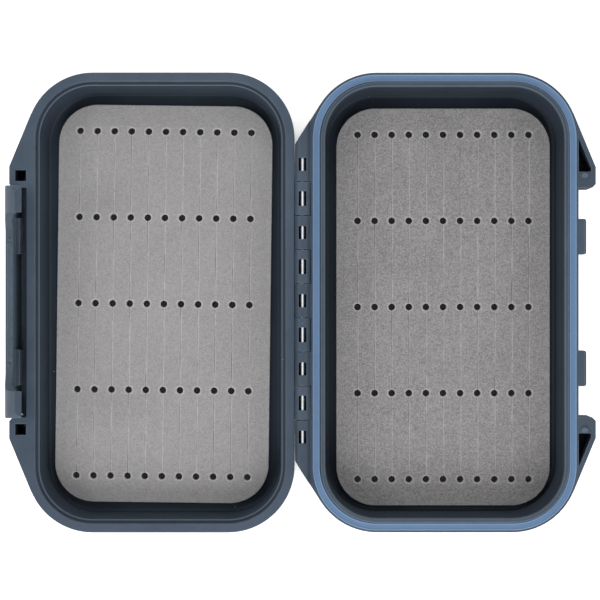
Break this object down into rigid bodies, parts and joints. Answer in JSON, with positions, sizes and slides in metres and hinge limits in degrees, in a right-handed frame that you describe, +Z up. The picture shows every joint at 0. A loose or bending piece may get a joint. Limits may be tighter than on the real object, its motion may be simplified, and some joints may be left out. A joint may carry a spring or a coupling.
{
  "type": "fly box",
  "caption": "Slim waterproof box of two moulded halves on a pinned hinge, lying open, with a seal, a slit foam pad in each half and a wide latch on the lid.",
  "frame": {"origin": "on the surface that the opened box lies on, straight below the hinge pin, at the middle of the case's length", "axes": "+X across the box from the hinge pin to the base half's latch side, +Y along the hinge pin, +Z up out of the two opened halves"},
  "size_m": [0.2295, 0.18, 0.0425],
  "materials": {
    "shell": "slate blue moulded plastic, fine satin",
    "latch": "slate blue moulded plastic, satin",
    "seal": "light blue soft rubber",
    "foam": "grey closed-cell foam, fine grain",
    "film": "dark adhesive film",
    "steel": "drawn stainless wire"
  },
  "bodies": {
    "base": {"base_shell": "shell", "seal": "seal", "base_pad": "foam", "base_pad_film": "film", "hinge_pin": "steel"},
    "lid": {"lid_shell": "shell", "lid_pad": "foam", "lid_pad_film": "film", "latch_pin": "steel"},
    "latch": {"latch": "latch"}
  },
  "joints": [
    {"name": "lid_hinge", "type": "hinge", "parent": "base", "child": "lid", "pos_m": [0, 0, 0.023], "axis": [0, 1, 0], "range_deg": [0, 180]},
    {"name": "latch_pivot", "type": "hinge", "parent": "lid", "child": "latch", "pos_m": [-0.1107, 0, 0.01], "axis": [0, -1, 0], "range_deg": [-4, 95]}
  ]
}
